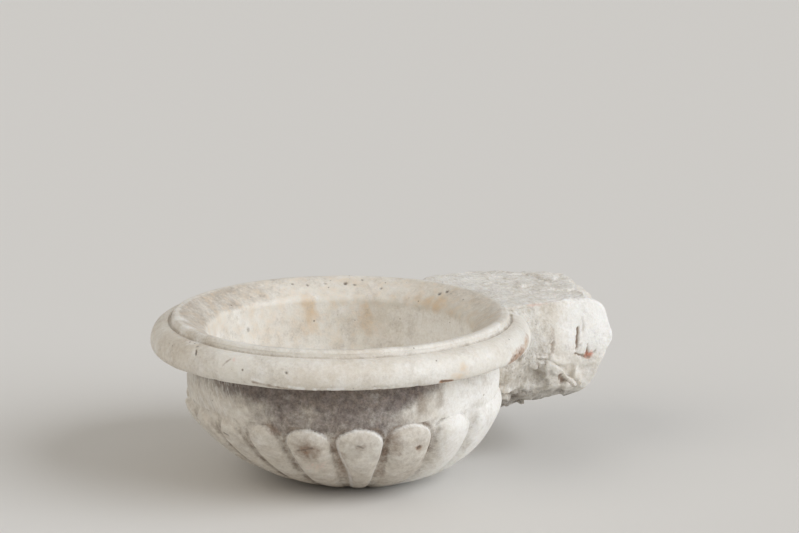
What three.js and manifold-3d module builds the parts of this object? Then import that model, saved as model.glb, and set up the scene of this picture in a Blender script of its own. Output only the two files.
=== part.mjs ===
// Holy water stoup for a church wall: a round marble basin with an overhanging moulded rim, a plain neck,
// a gadrooned belly and a rough-hewn tenon that is built into the masonry.
// Millimetres, +Z up. The origin is on the basin's axis in the plane it stands on, and +Y runs into the wall.
// The real stoup is a single stone. It is divided here along the carver's own lines, where one worked zone
// stops and the next begins, and the zones meet with a hairline gap.
import * as THREE from 'three';
import { mergeVertices } from 'three/addons/utils/BufferGeometryUtils.js';
import Module from 'manifold-3d';

const wasm = await Module();
wasm.setup();

// Driving dimensions: the whole stone
const HEIGHT = 169;
const RIM_RADIUS = 190;
const GAP = 0.3;
const ROUND_SEGMENTS = 96;

// Rim: a raised lip round the mouth, a sharp groove (the quirk), then a fat quarter-round with a rolled edge
const LIP_CREST_RADIUS = 161.5;
const LIP_HEIGHT = 7;
const QUIRK_RADIUS = 170;
const QUIRK_DEPTH = 1.2;
const ROUND_DROP = 25.5;
const ROLL_RADIUS = 8.2;
const RIM_DEPTH = 40;

// Hollow: a bevel that dips inwards from the lip, then one sweep down to the floor of the basin
const BEVEL_OUTER_RADIUS = 158.5;
const BEVEL_INNER_RADIUS = 134;
const BEVEL_DROP = 16;
const HOLLOW_DEPTH = 132;

// Neck: a plain band, slightly swelling, between the rim and the lobes
const NECK_TOP_RADIUS = 150;
const NECK_SWELL_RADIUS = 156.5;
const NECK_FOOT_RADIUS = 153.5;
const LOBE_TOP_DROP = 79;

// Belly: lobes shaped like shields, narrowest below their middle, over a flat base that stands a little nearer
// the wall than the rim's axis. Next to the wall the stone is left uncarved.
const BELLY_RADIUS = 158;
const BASE_RADIUS = 62;
const BASE_SHIFT = 19;
const LOBES_PER_TURN = 20;
const SEGMENTS_PER_LOBE = 10;
const CARVED_ARC = THREE.MathUtils.degToRad(118);
const LOBE_RELIEF = 9;
const LOBE_RELIEF_BASE = 5;
const LOBE_RELIEF_TOP = 1;
const LOBE_ARCH = 15;
const LOBE_CORNER = 2.3;
const LOBE_FILL_TOP = 0.98;
const LOBE_FILL_WAIST = 0.64;
const LOBE_FILL_BASE = 0.86;
const LOBE_WAIST_Z = 36;
const LOBE_SQUARENESS = 3;
const UNCARVED_PROUD = 4.5;

// Tenon: level with the lip on top, straight on one flank, flared on the other, broken off askew at its end
const TENON_HEIGHT = 105;
const TENON_ROOT_Y = 120;
const TENON_END_Y = 291;
const TENON_END_SKEW = 37;
const TENON_RIGHT_X = 60;
const TENON_RIGHT_SWELL = 9;
const TENON_LEFT_ROOT_X = -92;
const TENON_LEFT_END_X = -58;
const TENON_LEFT_FLARE = 36;
const TENON_UNDERCUT = 5;
const TENON_SEAT_RADIUS = 163;
const HEWN_DEPTH = 3.2;
const HEWN_PITCH = 21;

// Levels above the base
const QUIRK_Z = HEIGHT - LIP_HEIGHT;
const RIM_BOTTOM_Z = HEIGHT - RIM_DEPTH;
const LOBE_TOP_Z = HEIGHT - LOBE_TOP_DROP;

const polished = new THREE.MeshStandardMaterial({ color: '#dcd4c6', roughness: 0.5, metalness: 0 });
const dressed = new THREE.MeshStandardMaterial({ color: '#d2c8ba', roughness: 0.6, metalness: 0 });
const hewn = new THREE.MeshStandardMaterial({ color: '#dad5ca', roughness: 0.9, metalness: 0 });

// A three.js geometry as a solid that can be cut and joined.
function solidFrom(geometry) {
  const bare = geometry.clone();
  bare.deleteAttribute('normal');
  bare.deleteAttribute('uv');
  const merged = mergeVertices(bare, 1e-4);
  return new wasm.Manifold(new wasm.Mesh({
    numProp: 3,
    vertProperties: new Float32Array(merged.attributes.position.array),
    triVerts: new Uint32Array(merged.index.array),
  }));
}

function meshFrom(name, solid, material) {
  const { vertProperties, triVerts } = solid.getMesh();
  const geometry = new THREE.BufferGeometry();
  geometry.setAttribute('position', new THREE.BufferAttribute(new Float32Array(vertProperties), 3));
  geometry.setIndex(new THREE.BufferAttribute(new Uint32Array(triVerts), 1));
  geometry.computeVertexNormals();
  const mesh = new THREE.Mesh(geometry, material);
  mesh.name = name;
  return mesh;
}

// Turns an outline of (radius, height) points about +Z. The outline runs from the axis at the bottom to the
// axis at the top.
function turned(outline, segments = ROUND_SEGMENTS) {
  return new THREE.LatheGeometry(outline, segments).rotateX(Math.PI / 2);
}

const point = (radius, height) => new THREE.Vector2(radius, height);

// Points along a quarter of an ellipse, from angle to angle in degrees, with 0 pointing outwards and 90 up.
function ellipseArc(radius, height, reach, rise, from, to, steps) {
  const [start, end] = [from, to].map(THREE.MathUtils.degToRad);
  return new THREE.EllipseCurve(radius, height, reach, rise, start, end, end < start).getPoints(steps);
}

// The space inside the basin, which every zone that it passes through is hollowed by.
function basinHollow() {
  const floorZ = HEIGHT - HOLLOW_DEPTH;
  const bevelFootZ = HEIGHT - BEVEL_DROP;
  const sweep = new THREE.CubicBezierCurve(
    point(0, floorZ),
    point(0.68 * BEVEL_INNER_RADIUS, floorZ),
    point(0.97 * BEVEL_INNER_RADIUS, floorZ + 0.33 * HOLLOW_DEPTH),
    point(BEVEL_INNER_RADIUS - 1, bevelFootZ - 4),
  );
  const bevel = new THREE.QuadraticBezierCurve(
    point(BEVEL_INNER_RADIUS - 1, bevelFootZ - 4),
    point(BEVEL_INNER_RADIUS, bevelFootZ),
    point(BEVEL_INNER_RADIUS + 6, bevelFootZ + 2.5),
  );
  const mouth = [
    point(BEVEL_OUTER_RADIUS - 2, HEIGHT - 2),
    point(BEVEL_OUTER_RADIUS, HEIGHT - 0.6),
    point(LIP_CREST_RADIUS, HEIGHT),
    point(LIP_CREST_RADIUS, HEIGHT + 5),
    point(0, HEIGHT + 5),
  ];
  return solidFrom(turned([...sweep.getPoints(8), ...bevel.getPoints(2).slice(1), ...mouth]));
}

// The rim before it is hollowed and before the tenon interrupts it.
function rimBlank() {
  const rollZ = HEIGHT - ROUND_DROP;
  const roundReach = RIM_RADIUS - QUIRK_RADIUS - QUIRK_DEPTH;
  const underside = [
    point(0, RIM_BOTTOM_Z),
    point(NECK_TOP_RADIUS, RIM_BOTTOM_Z),
    point(NECK_TOP_RADIUS + 2, RIM_BOTTOM_Z + 3.5),
    point(NECK_TOP_RADIUS + 8, RIM_BOTTOM_Z + 5.5),
  ];
  const roll = ellipseArc(RIM_RADIUS - ROLL_RADIUS, rollZ, ROLL_RADIUS, ROLL_RADIUS, -90, 0, 3);
  const quarterRound = ellipseArc(
    QUIRK_RADIUS + QUIRK_DEPTH, rollZ, roundReach, ROUND_DROP - LIP_HEIGHT + 1, 0, 90, 6,
  );
  const lip = [
    point(QUIRK_RADIUS, QUIRK_Z - QUIRK_DEPTH),
    ...ellipseArc(QUIRK_RADIUS - 5, QUIRK_Z + 1, 4, LIP_HEIGHT - 1, 0, 90, 3),
    point(LIP_CREST_RADIUS, HEIGHT),
    point(0, HEIGHT),
  ];
  return solidFrom(turned([...underside, ...roll, ...quarterRound.slice(1), ...lip]));
}

// Moves the skin of a turned body along its radius, by a rule of the angle from the front and the height.
function reshaped(geometry, newRadius) {
  const { position } = geometry.attributes;
  for (let i = 0; i < position.count; i += 1) {
    const [x, y, z] = [position.getX(i), position.getY(i), position.getZ(i)];
    const radius = Math.hypot(x, y);
    if (radius < 1) continue;
    const scale = newRadius(radius, Math.atan2(x, -y), z) / radius;
    position.setXYZ(i, x * scale, y * scale, z);
  }
  return solidFrom(geometry);
}

function neckBlank(grow = 0) {
  const swell = new THREE.QuadraticBezierCurve(
    point(NECK_FOOT_RADIUS + grow, LOBE_TOP_Z + GAP),
    point(NECK_SWELL_RADIUS + grow, THREE.MathUtils.lerp(LOBE_TOP_Z, RIM_BOTTOM_Z, 0.45)),
    point(NECK_TOP_RADIUS + grow, RIM_BOTTOM_Z - GAP),
  );
  const band = turned([
    point(0, LOBE_TOP_Z + GAP),
    ...swell.getPoints(4),
    point(0, RIM_BOTTOM_Z - GAP),
  ]);
  return reshaped(band, (radius, angle) => radius + (Math.abs(angle) > CARVED_ARC ? UNCARVED_PROUD : 0));
}

// The belly's outline over the crowns of the lobes, from the base up to the neck.
function bellyOutline(grow = 0) {
  const side = new THREE.SplineCurve([
    point(BASE_RADIUS, 0),
    point(0.61 * BELLY_RADIUS, 0.083 * HEIGHT),
    point(0.78 * BELLY_RADIUS, 0.19 * HEIGHT),
    point(0.905 * BELLY_RADIUS, 0.308 * HEIGHT),
    point(0.982 * BELLY_RADIUS, 0.426 * HEIGHT),
    point(BELLY_RADIUS, 0.49 * HEIGHT),
    point(NECK_FOOT_RADIUS + 1, LOBE_TOP_Z),
  ]);
  const levels = [0, 0.08, 0.18, 0.3, 0.43, 0.56, 0.67, 0.76, 0.84, 0.9, 0.95, 1];
  return [
    point(0, 0),
    ...levels.map((t) => side.getPoint(t).add(point(grow, 0))),
    point(0, LOBE_TOP_Z),
  ];
}

// The share of its pitch that a lobe takes up: nearly all at the shoulder, least at the waist.
function lobeFill(z) {
  const end = z > LOBE_WAIST_Z ? LOBE_FILL_TOP : LOBE_FILL_BASE;
  const reach = z > LOBE_WAIST_Z ? LOBE_TOP_Z - LOBE_WAIST_Z : LOBE_WAIST_Z;
  return THREE.MathUtils.lerp(LOBE_FILL_WAIST, end, THREE.MathUtils.smoothstep(Math.abs(z - LOBE_WAIST_Z), 0, reach));
}

// How far the belly's surface lies below the crowns, at an angle from the front and a height.
// A lobe is a pillow with a domed top, and the stone next to the wall is left full.
function carvedDepth(angle, z) {
  if (Math.abs(angle) > CARVED_ARC) return -UNCARVED_PROUD;
  const pitch = (2 * Math.PI) / LOBES_PER_TURN;
  const across = Math.abs(2 * (angle / pitch - Math.round(angle / pitch))) / lobeFill(z);
  const above = Math.max(0, (z - (LOBE_TOP_Z - LOBE_ARCH)) / LOBE_ARCH);
  const outwards = Math.min(1, (across ** LOBE_CORNER + above ** LOBE_CORNER) ** (1 / LOBE_CORNER));
  const crown = Math.sqrt(1 - outwards ** LOBE_SQUARENESS);
  const full = THREE.MathUtils.lerp(LOBE_RELIEF_BASE, LOBE_RELIEF, z / LOBE_TOP_Z);
  const relief = THREE.MathUtils.lerp(full, LOBE_RELIEF_TOP, THREE.MathUtils.smoothstep(above, 0, 1));
  return relief * (1 - crown);
}

// The belly's circles are drawn towards the wall as they go down, and then the lobes are cut into it.
// Both are done along the radius, so every groove points at the basin's axis.
function bellyBlank(grow = 0) {
  const belly = turned(bellyOutline(grow), LOBES_PER_TURN * SEGMENTS_PER_LOBE);
  return reshaped(belly, (radius, angle, z) => {
    const shift = BASE_SHIFT * (1 - THREE.MathUtils.clamp(z / (0.49 * HEIGHT), 0, 1));
    const drawn = Math.sqrt(radius ** 2 - (shift * Math.sin(angle)) ** 2) - shift * Math.cos(angle);
    return drawn - carvedDepth(angle, z);
  });
}

// Broad unevenness from -1 to 1: two products of waves at unlike pitches, so that nothing repeats in sight.
function hewnWave(x, y, z, phase) {
  const k = (2 * Math.PI) / HEWN_PITCH;
  const coarse = Math.sin(0.37 * k * (x + 0.6 * z) + phase) * Math.cos(0.41 * k * (y - 0.5 * z) - phase);
  const fine = Math.sin(0.93 * k * (z + 0.4 * y) + 2 * phase) * Math.cos(0.88 * k * (x - 0.7 * y) + phase);
  return 0.6 * coarse + 0.4 * fine;
}

// The rough block behind the basin, from inside the rim to its broken end.
function tenonBlank(grow = 0) {
  const endOutline = new THREE.SplineCurve([
    point(-7, 0), point(5, 0.2), point(20, 0.45), point(22, 0.72), point(0, 1),
  ]);
  const geometry = new THREE.BoxGeometry(1, 1, 1, 9, 9, 8);
  const { position } = geometry.attributes;
  for (let i = 0; i < position.count; i += 1) {
    const across = position.getX(i) + 0.5;
    const along = position.getY(i) + 0.5;
    const up = position.getZ(i) + 0.5;
    const flare = TENON_LEFT_FLARE * Math.sin(Math.PI * along ** 0.9);
    const left = THREE.MathUtils.lerp(TENON_LEFT_ROOT_X, TENON_LEFT_END_X, along) - flare;
    const right = TENON_RIGHT_X + TENON_RIGHT_SWELL * Math.sin(Math.PI * up);
    const swell = endOutline.getPoint(up).x * (0.3 + 0.7 * across);
    const end = TENON_END_Y - TENON_END_SKEW * across + swell;
    const x = THREE.MathUtils.lerp(left, right, across);
    const y = THREE.MathUtils.lerp(TENON_ROOT_Y, end, along);
    const drop = TENON_HEIGHT - TENON_UNDERCUT * along;
    const z = HEIGHT - drop * (1 - up);
    const below = up < 1 ? 1 : 0;
    position.setXYZ(
      i,
      x + HEWN_DEPTH * hewnWave(x, y, z, 0.4) + 2 * grow * (across - 0.5),
      y + HEWN_DEPTH * hewnWave(y, z, x, 1.7) * along + grow * along,
      z + below * (HEWN_DEPTH * hewnWave(z, x, y, 2.9) - grow * (1 - up)) + (1 - below) * grow,
    );
  }
  return solidFrom(geometry);
}

// What the tenon's inner end is fitted round: the mouth of the rim, the neck and the belly.
function tenonSeat(radius, grow) {
  const core = turned([
    point(0, 1), point(NECK_TOP_RADIUS - 5, 1), point(NECK_TOP_RADIUS - 5, RIM_BOTTOM_Z),
    point(radius, RIM_BOTTOM_Z), point(radius, HEIGHT + 5), point(0, HEIGHT + 5),
  ]);
  return solidFrom(core).add(neckBlank(grow)).add(bellyBlank(grow));
}

const hollow = basinHollow();
const tenonSocket = tenonBlank(GAP).subtract(tenonSeat(TENON_SEAT_RADIUS, 0));

const stoup = new THREE.Group();
stoup.name = 'holy_water_stoup';
stoup.add(
  meshFrom('rim', rimBlank().subtract(hollow).subtract(tenonSocket), polished),
  meshFrom('neck_band', neckBlank().subtract(hollow), dressed),
  meshFrom('gadrooned_bowl', bellyBlank().subtract(hollow), polished),
  meshFrom('wall_tenon', tenonBlank().subtract(tenonSeat(TENON_SEAT_RADIUS + GAP, GAP)), hewn),
);

export default stoup;
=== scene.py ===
# %% [markdown]
# # A marble holy water stoup
# The real stoup is one block of white marble: a rim and a bowl that look turned, lobes carved round the
# belly, and a rough tenon that once sat in a church wall. The frame that is loaded here has the same stone
# as four plain solids, and this lesson gives each of them a denser skin with the carver's and the
# centuries' marks.

# %% Load the plain stone
import math
from functools import partial
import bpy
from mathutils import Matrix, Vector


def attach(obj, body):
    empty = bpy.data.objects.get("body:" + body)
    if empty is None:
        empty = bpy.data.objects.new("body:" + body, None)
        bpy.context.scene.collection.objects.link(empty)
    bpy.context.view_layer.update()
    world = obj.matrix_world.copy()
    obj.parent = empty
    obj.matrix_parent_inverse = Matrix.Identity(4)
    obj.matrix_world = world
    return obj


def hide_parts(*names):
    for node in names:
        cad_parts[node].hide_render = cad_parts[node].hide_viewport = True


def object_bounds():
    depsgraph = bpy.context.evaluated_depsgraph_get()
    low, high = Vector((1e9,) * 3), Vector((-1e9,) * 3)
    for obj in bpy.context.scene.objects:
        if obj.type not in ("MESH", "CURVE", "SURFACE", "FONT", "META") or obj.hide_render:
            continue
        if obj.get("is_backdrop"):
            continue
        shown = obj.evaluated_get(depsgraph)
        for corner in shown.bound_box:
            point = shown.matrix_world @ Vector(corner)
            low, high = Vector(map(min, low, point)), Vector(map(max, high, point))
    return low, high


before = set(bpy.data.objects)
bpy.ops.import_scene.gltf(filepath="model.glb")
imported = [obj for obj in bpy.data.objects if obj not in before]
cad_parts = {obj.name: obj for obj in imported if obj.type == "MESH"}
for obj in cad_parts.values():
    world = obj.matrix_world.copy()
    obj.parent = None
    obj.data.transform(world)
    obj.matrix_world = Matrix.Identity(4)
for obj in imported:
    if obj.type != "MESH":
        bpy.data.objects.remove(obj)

from types import SimpleNamespace

import bpy
import numpy as np

cad_low, cad_high = (list(map(float, corner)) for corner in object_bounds())
MM = 0.001
print("solids:", sorted(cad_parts), "from", cad_low, "to", cad_high)

# %% [markdown]
# ## The camera
# The rim's ellipses in the photograph fix the view: the camera stands 64 degrees round from the front and
# looks 12 degrees down. A long lens from 2.3 metres keeps the ellipses as flat as they are there.

# %% Camera
AZIMUTH, PITCH, DISTANCE = math.radians(64), math.radians(11.95), 2.3
AIM_RIGHT, AIM_UP = 58.7 * MM, 43.7 * MM
SENSOR, IMAGE_WIDTH, FOCAL_PIXELS = 36.0, 799, 2300


def in_scene(name, data):
    """A new object that holds the data, linked to the scene."""
    made = bpy.data.objects.new(name, data)
    bpy.context.scene.collection.objects.link(made)
    return made


right = np.array([math.cos(AZIMUTH), math.sin(AZIMUTH), 0])
away = np.array([-math.sin(AZIMUTH), math.cos(AZIMUTH), 0])
forward = away * math.cos(PITCH) - np.array([0, 0, math.sin(PITCH)])
upward = away * math.sin(PITCH) + np.array([0, 0, math.cos(PITCH)])
rim_centre = np.array([0, 0, cad_high[2]])

camera = in_scene("camera", bpy.data.cameras.new("camera"))
camera.data.sensor_width = SENSOR
camera.data.lens = SENSOR * FOCAL_PIXELS / IMAGE_WIDTH
camera.location = rim_centre + right * AIM_RIGHT + upward * AIM_UP - forward * DISTANCE
camera.rotation_euler = (math.pi / 2 - PITCH, 0, AZIMUTH)
bpy.context.scene.camera = camera
print("camera at", [round(v, 3) for v in camera.location], "lens", round(camera.data.lens, 1))

# %% [markdown]
# ## One function for nodes
# Every tree below, for shapes and for finishes, is put together by this one function. It makes a node, sets
# its options, and then fills its inputs with numbers, with sockets, or with other nodes. The kinds of node
# that come up most often get a short name.

# %% Node function and colours
MATH, VECTOR, RAMP, MIX, NOISE = (
    "ShaderNode" + kind for kind in ("Math", "VectorMath", "MapRange", "Mix", "TexNoise"))


def add(tree, kind, inputs=(), operation=None, **settings):
    """Add one node with its settings. An input is a number, a socket, or a node, whose first output is used."""
    made = tree.nodes.new(kind)
    if operation:
        made.operation = operation
    for name, value in settings.items():
        setattr(made, name, value)
    shown = [socket for socket in made.inputs if socket.enabled]
    for key, value in inputs.items() if isinstance(inputs, dict) else enumerate(inputs):
        socket = shown[key] if isinstance(key, int) else next(s for s in shown if s.name == key)
        if isinstance(value, bpy.types.Node):
            value = next(s for s in value.outputs if s.enabled)
        if isinstance(value, bpy.types.NodeSocket):
            tree.links.new(value, socket)
        else:
            socket.default_value = value
    return made


def linear(code):
    """An sRGB hex colour as linear RGBA."""
    parts = [int(code[i:i + 2], 16) / 255 for i in (1, 3, 5)]
    return [c / 12.92 if c <= 0.04045 else ((c + 0.055) / 1.055) ** 2.4 for c in parts] + [1.0]


IVORY = "#e3dfd6"
print("ivory in linear light:", [round(c, 3) for c in linear(IVORY)])

# %% [markdown]
# ## Floor and light
# The stone stands on a plain pale floor. A wide soft light from the right and above the camera gives the
# bright right flank, a weaker one from the left lifts the shaded side, and an even sky fills the rest. Both
# lamps are suns with a large disc, because a sun falls alike on the whole floor, which so stays one plain
# tone.

# %% Light and sky
OVERHEAD = np.array([0, 0, 1])
LAMP_SPREAD, SKY_STRENGTH = math.radians(45), 0.42
for lamp_name, comes_from, strength, tone in (
        ("key_light", right * 0.83 - away * 0.36 + OVERHEAD * 0.5, 2.3, "#f4f8ff"),
        ("fill_light", -right * 0.7 - away * 0.45 + OVERHEAD * 0.65, 0.72, "#fff8ef")):
    lamp = in_scene(lamp_name, bpy.data.lights.new(lamp_name, "SUN"))
    lamp.data.angle = LAMP_SPREAD
    lamp.data.energy = strength
    lamp.data.color = linear(tone)[:3]
    lamp.rotation_euler = (math.acos(comes_from[2] / np.linalg.norm(comes_from)), 0,
                           math.atan2(comes_from[1], comes_from[0]) + math.pi / 2)
    print(lamp_name, "comes from", [round(v, 2) for v in comes_from])

world = bpy.data.worlds.new("soft_sky")
bpy.context.scene.world = world
world.use_nodes = True
world.node_tree.nodes["Background"].inputs["Color"].default_value = linear("#f8f5f0")
world.node_tree.nodes["Background"].inputs["Strength"].default_value = SKY_STRENGTH
bpy.context.scene.view_settings.view_transform = "Standard"

# %% Floor
FLOOR_HALF = 10.0
floor_corners = [(x * FLOOR_HALF, y * FLOOR_HALF, 0) for x, y in ((-1, -1), (1, -1), (1, 1), (-1, 1))]
floor_mesh = bpy.data.meshes.new("floor")
floor_mesh.from_pydata(floor_corners, [], [(0, 1, 2, 3)])
floor = in_scene("floor", floor_mesh)
floor_paint = bpy.data.materials.new("matt pale studio floor")  # no sheen, so only the shadow shows on it
floor_paint.use_nodes = True
floor_paint.node_tree.nodes["Principled BSDF"].inputs["Base Color"].default_value = linear("#dcdad6")
floor_paint.node_tree.nodes["Principled BSDF"].inputs["Roughness"].default_value = 0.9
floor_mesh.materials.append(floor_paint)
floor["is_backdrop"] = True
print("floor", 2 * FLOOR_HALF, "m wide")

# %% [markdown]
# ## The outlines
# Rim, neck and bowl are bodies of revolution, so each is an outline of radius and height, in millimetres
# above the base. Curves with few control points give the long sweeps, and they are then cut into equal
# steps: short where the photograph looks, longer inside the stone where nothing shows.


# %% Curves and steps
def bezier(*points, steps=80):
    """Points along a Bezier curve through its control points."""
    t = np.linspace(0, 1, steps)[:, None]
    level = [np.array(p, float) + 0 * t for p in points]
    while len(level) > 1:
        level = [a + (b - a) * t for a, b in zip(level, level[1:])]
    return level[0]


def smooth_through(*points, steps=16):
    """A curve through the points that bends as evenly as a thin batten: a natural cubic spline."""
    pts = np.array(points, float)
    count = len(pts)
    gap = np.linalg.norm(np.diff(pts, axis=0), axis=1)
    run = np.concatenate([[0], np.cumsum(gap)])
    slope = np.diff(pts, axis=0) / gap[:, None]
    ties, pull = np.eye(count), np.zeros((count, 2))
    for i in range(1, count - 1):
        ties[i, i - 1:i + 2] = gap[i - 1], 2 * (gap[i - 1] + gap[i]), gap[i]
        pull[i] = 6 * (slope[i] - slope[i - 1])
    bend = np.linalg.solve(ties, pull)
    at = np.linspace(0, run[-1], steps * count)
    k = np.clip(np.searchsorted(run, at) - 1, 0, count - 2)
    span = gap[k][:, None]
    a = (run[k + 1] - at)[:, None] / span
    b = 1 - a
    return a * pts[k] + b * pts[k + 1] + ((a**3 - a) * bend[k] + (b**3 - b) * bend[k + 1]) * span**2 / 6


def arc(centre, reach, rise, start, end, steps=40):
    """Part of an ellipse, with 0 degrees outwards and 90 degrees up."""
    turn = np.radians(np.linspace(start, end, steps))
    return np.array(centre) + np.column_stack([reach * np.cos(turn), rise * np.sin(turn)])


def stepped(points, step):
    """The same line cut into equal steps."""
    points = np.asarray(points, float)
    run = np.concatenate([[0], np.cumsum(np.linalg.norm(np.diff(points, axis=0), axis=1))])
    at = np.linspace(0, run[-1], max(2, round(run[-1] / step) + 1))
    return np.column_stack([np.interp(at, run, points[:, i]) for i in (0, 1)])


batten = smooth_through((0, 0), (10, 5), (20, 0))
print("a batten bent over three nails rises to", batten[:, 1].max().round(2))

# %% Hollow of the basin
HEIGHT, RIM_RADIUS = round(cad_high[2] / MM, 1), round(cad_high[0] / MM, 1)
RIM_BOTTOM, LOBE_TOP, BASIN_FLOOR = 129.0, 90.0, 37.0
MOUTH_RADIUS, SEAT_RADIUS = 161.5, 163.0

wall_top, bevel_foot = (133, 148.5), (139, 156.5)
hollow = np.vstack([
    bezier((0, BASIN_FLOOR), (91, BASIN_FLOOR), (130, 80.5), wall_top),
    bezier(wall_top, (134, 153), bevel_foot),
    bezier(bevel_foot, (147, 162), (156, 167.6), (MOUTH_RADIUS, HEIGHT)),
])


def hollow_radius(z):
    """Radius of the hollow at a height."""
    return float(np.interp(z, hollow[:, 1], hollow[:, 0]))


def hollow_between(low, high):
    """The hollow's outline between two heights."""
    inner = hollow[(hollow[:, 1] > low) & (hollow[:, 1] < high)]
    return np.vstack([(hollow_radius(low), low), inner, (hollow_radius(high), high)])


print("mouth radius", hollow_radius(HEIGHT), "mm, floor at", hollow[0, 1], "mm")

# %% Outlines of rim and neck
NECK_TOP, NECK_FOOT = 150.0, 153.4
SEAM_STEP = 5.0

lip = stepped(np.vstack([(MOUTH_RADIUS, HEIGHT), arc((164.5, 165), 4.2, 4, 90, 20)]), 0.9)
lip_groove = stepped(bezier((168.45, 166.4), (169.2, 160.5), (170.5, 160), (172.4, 162.3)), 0.8)
quarter_round = stepped(arc((172.4, 143.5), 17.6, 18.8, 90, 0), 1.15)
worn_edge = stepped(np.vstack([
    bezier((RIM_RADIUS, 143.5), (RIM_RADIUS, 140), (188.2, 137.2)),
    bezier((188.2, 137.2), (187.4, 135.8), (185.4, 135.5)), [(181.8, 135.3)]]), 0.9)
overhang = stepped(bezier((181.8, 135.3), (158, 135.3), (150.5, 134), (NECK_TOP, RIM_BOTTOM)), 2.2)
rim_seam = [(NECK_TOP, RIM_BOTTOM), (hollow_radius(RIM_BOTTOM), RIM_BOTTOM)]
rim_outline = np.vstack([
    stepped(hollow_between(RIM_BOTTOM, HEIGHT), 1.5),
    lip, lip_groove, quarter_round, worn_edge, overhang, stepped(rim_seam, SEAM_STEP),
])
neck_outline = np.vstack([
    stepped(hollow_between(LOBE_TOP, RIM_BOTTOM), 2.4),
    stepped(rim_seam[::-1], SEAM_STEP),
    stepped(bezier((NECK_TOP, RIM_BOTTOM), (156.8, 110), (NECK_FOOT, LOBE_TOP)), 1.1),
    stepped([(NECK_FOOT, LOBE_TOP), (hollow_radius(LOBE_TOP), LOBE_TOP)], SEAM_STEP),
])
print("rows:", {"rim": len(rim_outline), "neck": len(neck_outline)})

# %% Outline of the bowl, and rules for its lobes by height above the base
CROWN_TOP, BASE_RADIUS = 156.5, 62.0
LOBE_RULES = {
    "relief": ((0, 6.0), (15, 7.4), (30, 9.4), (45, 10.6), (60, 10.8), (72, 9.6), (80, 7.8), (86, 5.4),
               (LOBE_TOP, CROWN_TOP - NECK_FOOT)),
    "bevel": ((0, 4.5), (40, 5.0), (70, 3.6), (LOBE_TOP, 2.8)),
    "proud": ((0, 0.4), (30, 0.2), (50, 0.15), (65, 0.35), (76, 0.6), (84, 0.55), (LOBE_TOP, 0.311)),
    "fill": ((0, 0.76), (12, 0.69), (22, 0.66), (33, 0.69), (42, 0.755), (52, 0.86), (64, 0.95), (76, 0.975),
             (LOBE_TOP, 0.98)),
}
inside_bowl = np.vstack([
    stepped(hollow[hollow[:, 1] < LOBE_TOP], 5),
    stepped([(hollow_radius(LOBE_TOP), LOBE_TOP), (NECK_TOP, LOBE_TOP)], 6),
])
crowns = stepped(smooth_through((CROWN_TOP, LOBE_TOP), (158.3, 82.8), (155.8, 72), (143.9, 52), (125, 32),
                                (97.2, 14), (BASE_RADIUS, 0)), 1.3)
base = stepped([(BASE_RADIUS, 0), (0, 0)], 5)[1:]
bowl_outline = np.vstack([inside_bowl, crowns, base])
print("rows of the bowl:", len(bowl_outline), "of which", len(crowns), "carry lobes")

# %% [markdown]
# Each outline becomes a thin chain of points, and every point carries what the next tree needs to know
# about it: how far the carver drew that level towards the wall, how high a lobe stands there, how wide its
# bevelled edge is and what share of its pitch it fills, whether the point lies on an edge that gets knocked
# or in a crease that the finish darkens as painted shade, and how free it is to move, because where two
# zones meet nothing may shift.

# %% Outline chains
BASE_DRIFT, DRIFT_TOP = 19.0, 82.8
SEAM_HOLD, BASE_HOLD = 7.0, 4.0  # how near to a seam or to the base a point is held, in mm


def smooth(share):
    """A share from 0 to 1 that starts and ends gently."""
    share = np.clip(share, 0, 1)
    return share * share * (3 - 2 * share)


def near(points, place, reach):
    """1 at a place on the outline, fading to 0 at the given reach."""
    return smooth(1 - np.linalg.norm(points - np.array(place), axis=1) / reach)


def with_facts(mesh, facts):
    """Write each fact to the mesh, one number for each vertex."""
    for label, values in facts.items():
        layer = mesh.attributes.new(label, "FLOAT", "POINT")
        layer.data.foreach_set("value", np.asarray(values, np.float32))


def chain(name, outline, seams, outer, edges=(), creases=(), lobed=False):
    """An outline as a chain of vertices with its facts."""
    mesh = bpy.data.meshes.new(name)
    links = [(i, i + 1) for i in range(len(outline) - 1)]
    mesh.from_pydata([(r * MM, 0, z * MM) for r, z in outline], links, [])
    radius, z = outline.T
    none = np.zeros(len(outline))
    on_belly = outer * lobed * np.clip(radius / BASE_RADIUS, 0, 1)
    rules = {label: np.interp(z, *smooth_through(*rule).T) for label, rule in LOBE_RULES.items()}
    beyond_seat = radius > SEAT_RADIUS
    seat_level = z.copy()
    seat_level[beyond_seat] = np.minimum.accumulate(z[beyond_seat])
    with_facts(mesh, {
        "relief": rules["relief"] * on_belly * MM,
        "bevel": rules["bevel"] * MM,
        "fill": rules["fill"],
        "proud": on_belly * rules["proud"] if lobed else outer,
        "seat_level": seat_level * MM,
        "outer": outer,
        "drift": BASE_DRIFT * (1 - np.clip(z / DRIFT_TOP, 0, 1)) * on_belly * MM,
        "edge": np.clip(sum((w * near(outline, p, d) for p, d, w in edges), none), 0, 1),
        "crease": np.clip(sum((w * near(outline, p, d) for p, d, w in creases), none), 0, 1),
        "free": np.min([1 - near(outline, p, SEAM_HOLD) for p in seams], axis=0) * np.clip(z / BASE_HOLD, 0, 1),
    })
    return in_scene(name, mesh)


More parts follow.
